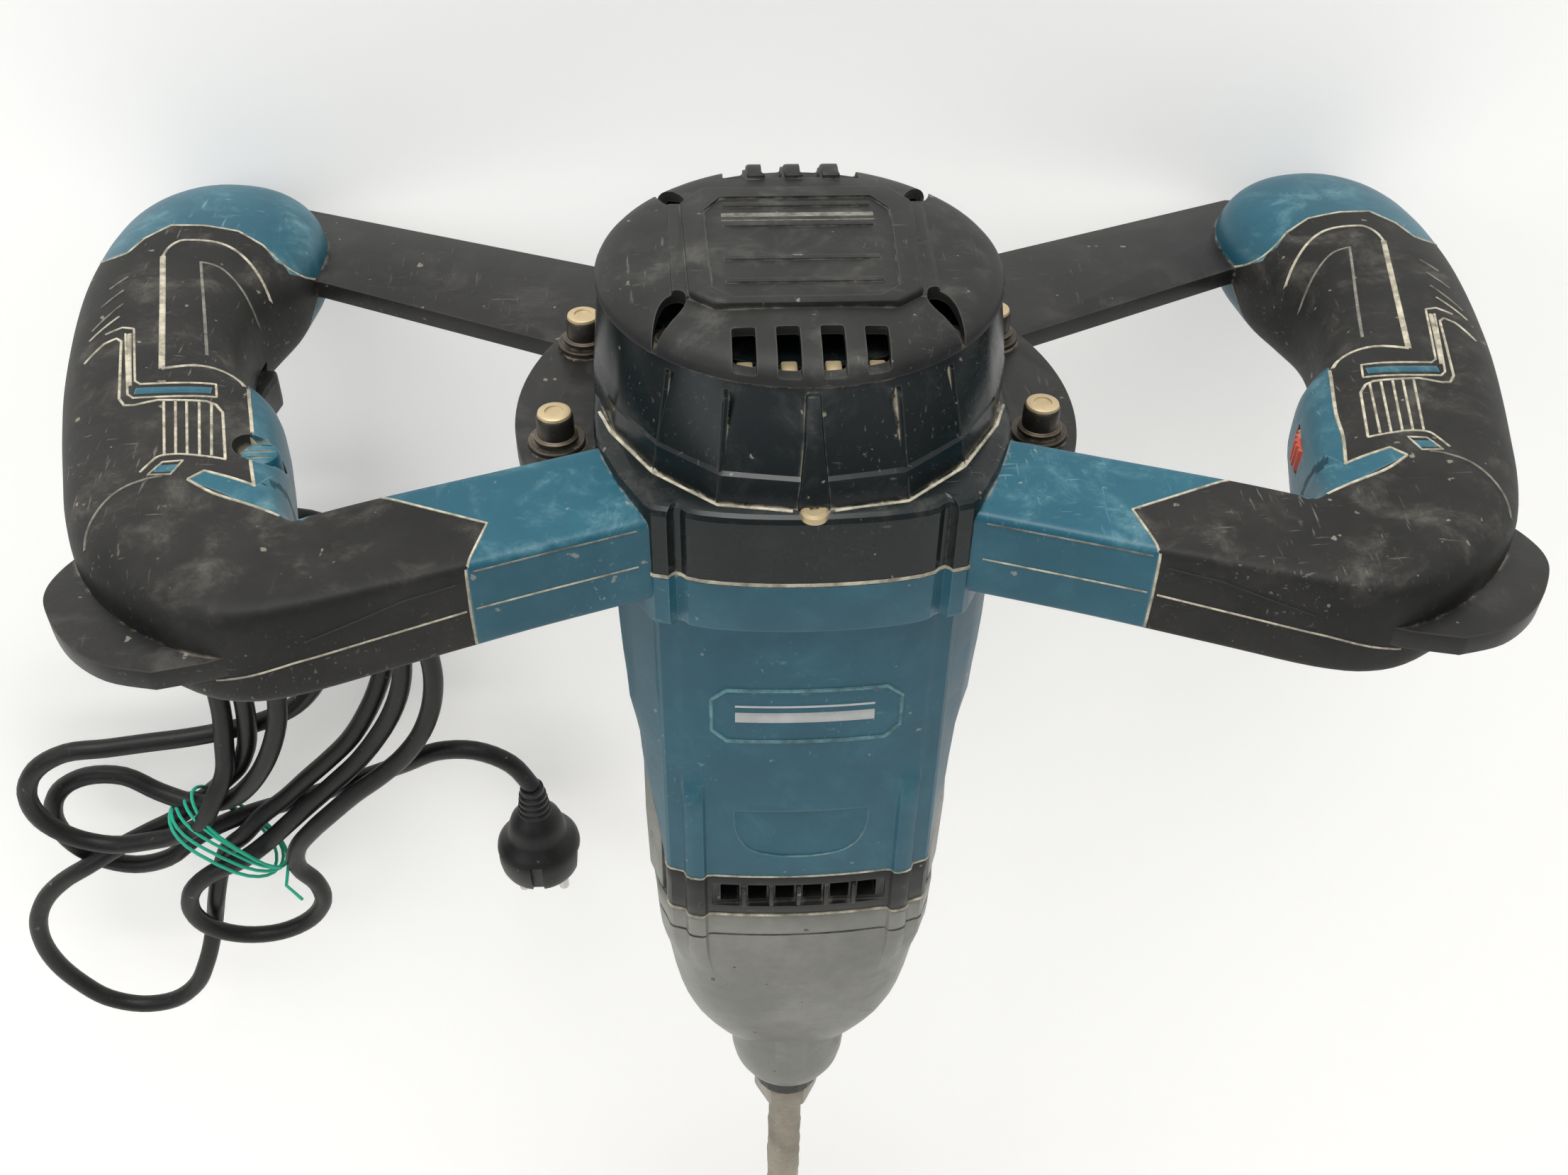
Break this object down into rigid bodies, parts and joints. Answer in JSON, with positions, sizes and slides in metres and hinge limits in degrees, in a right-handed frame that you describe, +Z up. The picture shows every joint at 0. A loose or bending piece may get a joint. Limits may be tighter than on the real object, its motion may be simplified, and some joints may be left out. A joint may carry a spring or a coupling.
{
  "type": "mortar mixing paddle",
  "caption": "Corded paddle mixer with twin D-shaped handles on a steel plate, an upright motor over a gearbox, and a helical mixing paddle; the mains cord hangs tied in a hank.",
  "frame": {"origin": "the middle of the frame plate's thickness on the motor's axis, between the two grips that hold the mixer up", "axes": "+Z up along the motor's axis, -Y out of the front face of the motor body, +X toward the speed dial's handle"},
  "size_m": [0.5846, 0.238, 0.9258],
  "materials": {
    "teal_plastic": "satin moulded, dusty",
    "black_plastic": "satin moulded",
    "gloss_black": "glossy moulded",
    "grip_rubber": "soft overmould, scuffed",
    "grey_casting": "die-cast, scuffed",
    "frame_steel": "black powder coat, worn to rust at the tips",
    "machine_steel": "ground",
    "bolt_steel": "blackened, worn",
    "copper": "wound or turned copper",
    "lamination": "stacked steel sheet",
    "carbon": "pressed carbon",
    "red_plastic": "satin moulded",
    "green_string": "twisted polypropylene",
    "dusty_steel": "dull, crusted with dried mortar"
  },
  "bodies": {
    "mixer": {"handle_frame": "frame_steel", "frame_bolt_1": "bolt_steel", "frame_bolt_2": "bolt_steel", "frame_bolt_3": "bolt_steel", "frame_bolt_4": "bolt_steel", "motor_end_cap": "black_plastic", "motor_housing": "gloss_black", "body_housing": "teal_plastic", "vent_band": "black_plastic", "gearbox_cover": "grey_casting", "gearbox_case": "grey_casting", "stator_core": "lamination", "field_coil_front": "copper", "field_coil_rear": "copper", "carbon_brush_left": "carbon", "carbon_brush_right": "carbon", "motor_bearing_upper": "machine_steel", "motor_bearing_lower": "machine_steel", "spindle_bearing_upper": "machine_steel", "spindle_bearing_lower": "machine_steel", "spindle_seal": "grip_rubber", "left_handle_upper": "teal_plastic", "left_handle_lower": "teal_plastic", "left_rear_cap": "teal_plastic", "left_grip_upper": "grip_rubber", "left_grip_lower": "grip_rubber", "right_handle_upper": "teal_plastic", "right_handle_lower": "teal_plastic", "right_rear_cap": "teal_plastic", "right_grip_upper": "grip_rubber", "right_grip_lower": "grip_rubber", "switch_body": "black_plastic", "speed_controller": "black_plastic", "cord_gland": "grip_rubber", "cord_lead": "grip_rubber", "cord_hank": "grip_rubber", "cord_tail": "grip_rubber", "string_tie": "green_string", "mains_plug": "grip_rubber", "plug_pin_left": "machine_steel", "plug_pin_right": "machine_steel"},
    "rotor": {"motor_shaft": "machine_steel", "armature_core": "lamination", "commutator": "copper", "cooling_fan": "black_plastic"},
    "layshaft": {"countershaft": "machine_steel", "countershaft_gear": "machine_steel"},
    "spindle": {"output_spindle": "bolt_steel", "output_gear": "machine_steel", "paddle_shaft": "dusty_steel", "paddle_nut": "dusty_steel", "paddle_ring": "dusty_steel", "paddle_blade_1": "dusty_steel", "paddle_blade_2": "dusty_steel", "paddle_blade_3": "dusty_steel"},
    "trigger": {"trigger": "black_plastic"},
    "lock_button": {"lock_button": "teal_plastic"},
    "speed_dial": {"speed_dial": "red_plastic"}
  },
  "joints": [
    {"name": "spindle_turn", "type": "hinge", "parent": "mixer", "child": "spindle", "pos_m": [0, -0.036, -0.28], "axis": [0, 0, 1], "continuous": true},
    {"name": "layshaft_turn", "type": "hinge", "parent": "mixer", "child": "layshaft", "pos_m": [0.0161, -0.0119, -0.18], "axis": [0, 0, 1], "continuous": true},
    {"name": "rotor_turn", "type": "hinge", "parent": "mixer", "child": "rotor", "pos_m": [0, 0, -0.05], "axis": [0, 0, 1], "continuous": true},
    {"name": "trigger_pull", "type": "slide", "parent": "mixer", "child": "trigger", "axis": [-1, 0, 0], "range_m": [0, 0.006], "stiffness_N_per_m": 600, "springref_m": -0.002},
    {"name": "lock_button_press", "type": "slide", "parent": "mixer", "child": "lock_button", "axis": [0, 0, -1], "range_m": [0, 0.003], "stiffness_N_per_m": 300, "springref_m": -0.001},
    {"name": "speed_dial_turn", "type": "hinge", "parent": "mixer", "child": "speed_dial", "pos_m": [0.156, -0.03, 0.003], "axis": [0, 0, 1], "range_deg": [0, 270]}
  ],
  "couplings": [
    {"joint": "layshaft_turn", "follows": "spindle_turn", "ratio": -4.7778},
    {"joint": "rotor_turn", "follows": "spindle_turn", "ratio": 30.259}
  ]
}
